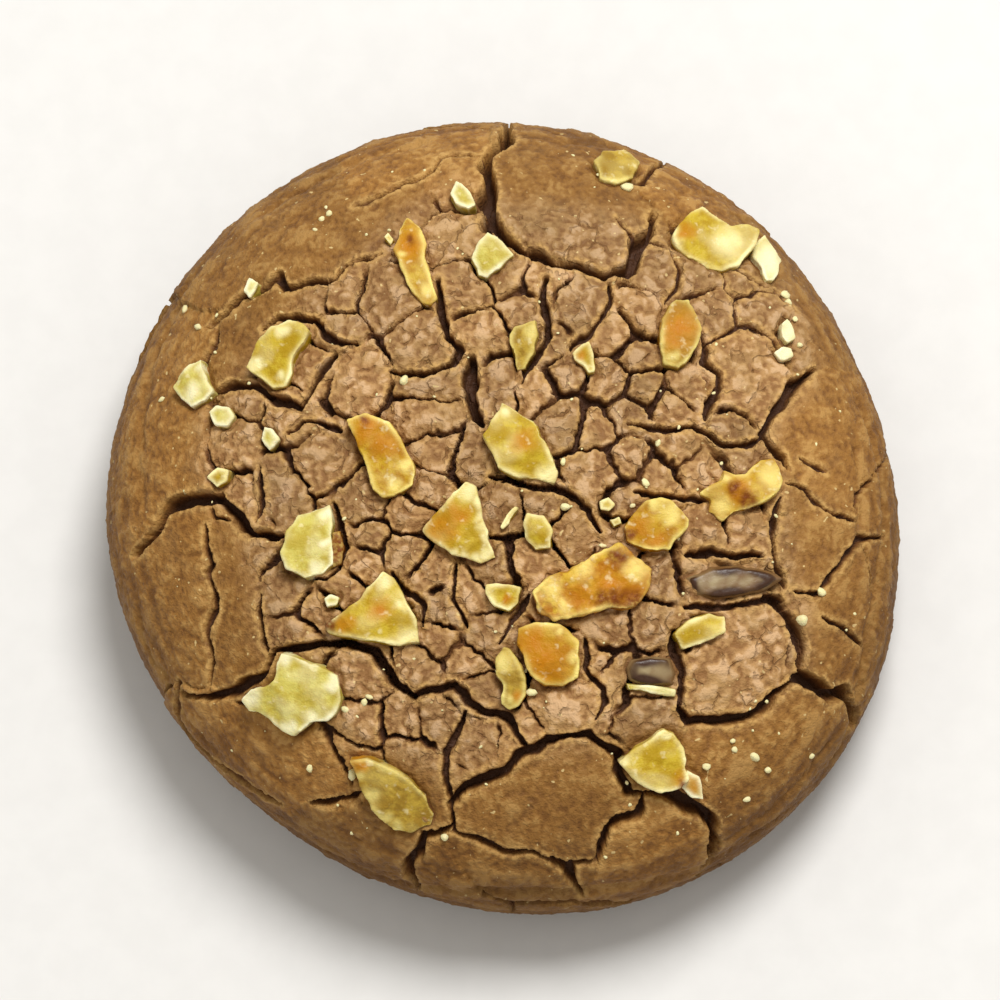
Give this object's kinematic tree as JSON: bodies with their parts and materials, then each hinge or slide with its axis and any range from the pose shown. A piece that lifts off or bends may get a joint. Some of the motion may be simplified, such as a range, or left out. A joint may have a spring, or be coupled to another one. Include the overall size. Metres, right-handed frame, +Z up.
{
  "type": "walnut cookie",
  "caption": "Round domed cocoa cookie with a crackled crust, smooth rim plates and chopped walnut baked into its top; flat underside.",
  "frame": {"origin": "centre of the flat underside, on the surface the cookie stands on", "axes": "+Z up through the dome; +X to the right and +Y away in the view the picture takes, which looks down on the top from a little in front"},
  "size_m": [0.0616, 0.0626, 0.0232],
  "materials": {
    "crust": "dry matte baked cocoa crust, cracked, with golden chopped walnut"
  },
  "bodies": {
    "root": {"walnut_cookie": "crust"}
  },
  "joints": []
}
